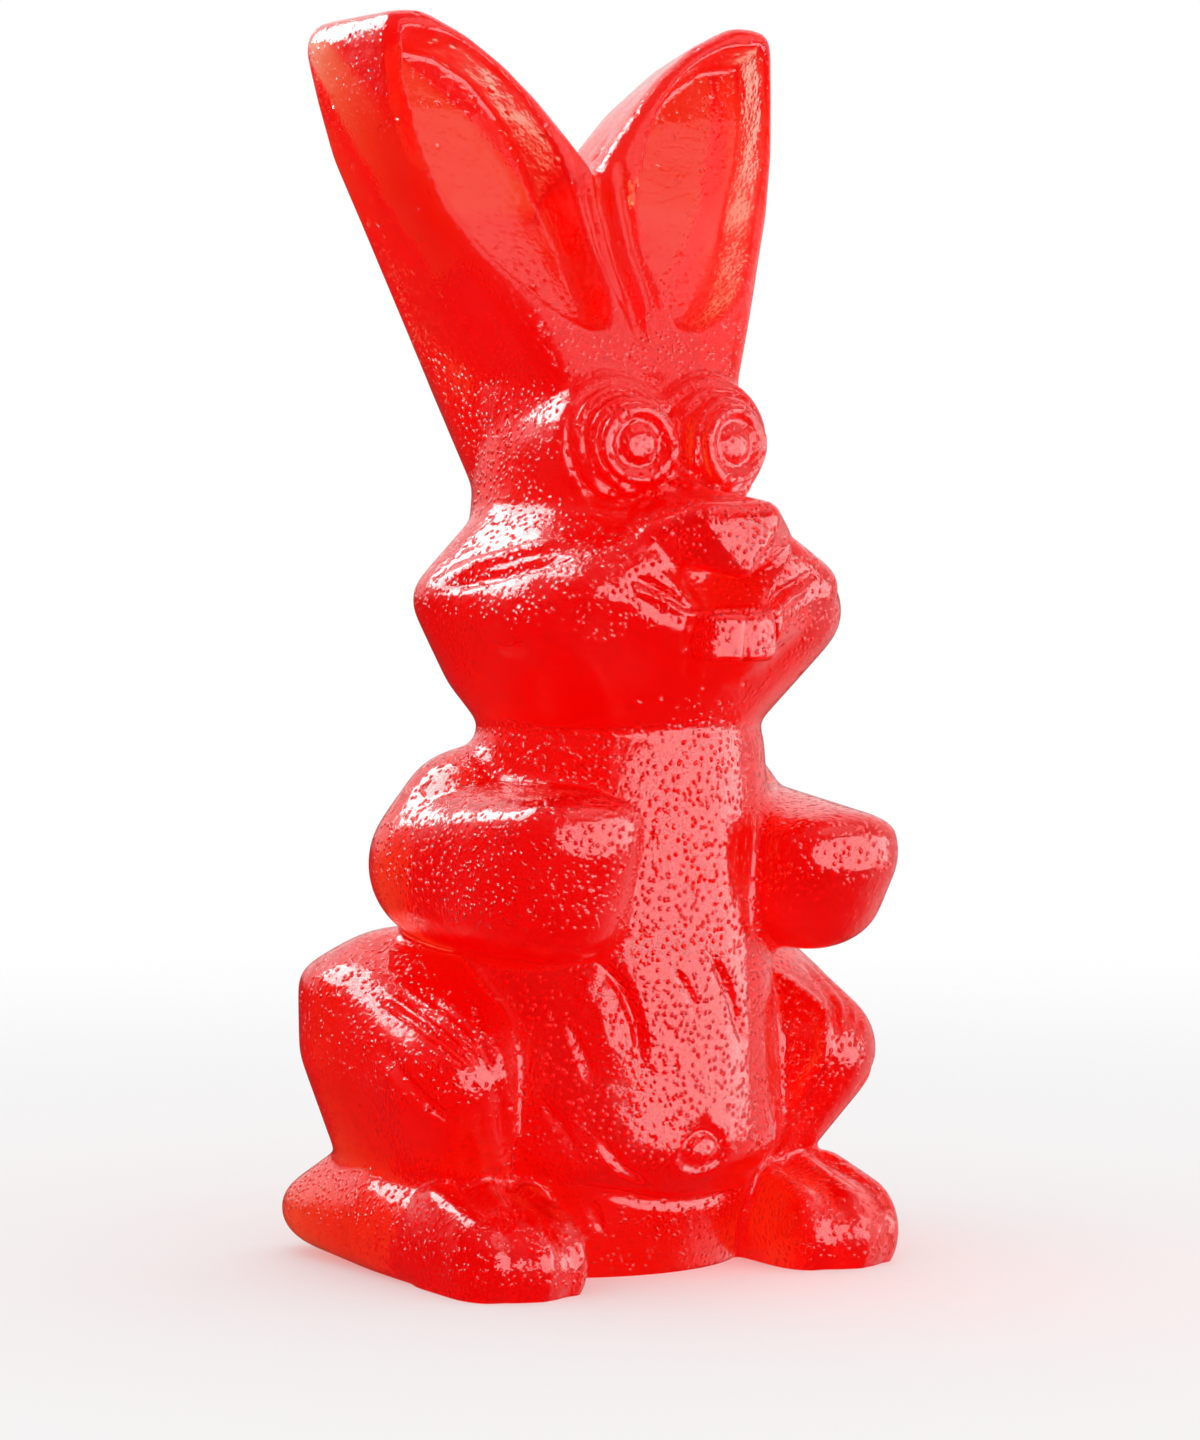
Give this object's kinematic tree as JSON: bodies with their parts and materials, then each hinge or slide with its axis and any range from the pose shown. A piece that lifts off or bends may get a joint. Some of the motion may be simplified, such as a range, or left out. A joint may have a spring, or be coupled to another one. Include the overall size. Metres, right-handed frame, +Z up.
{
  "type": "gummy bunny",
  "caption": "Gummy bunny: an upright rabbit cast in one piece of clear red jelly, with long hollowed ears, buck teeth, paws held out and a flat base to stand on.",
  "frame": {"origin": "middle of the bounding box's underside, on the surface that the bunny stands on", "axes": "+Z up through the head; the bunny looks along -Y; its own left side is at +X"},
  "size_m": [0.0822, 0.073, 0.1788],
  "materials": {
    "red_jelly": "clear red jelly, wet gloss with a fine beaded skin"
  },
  "bodies": {
    "root": {"gummy_bunny": "red_jelly"}
  },
  "joints": []
}
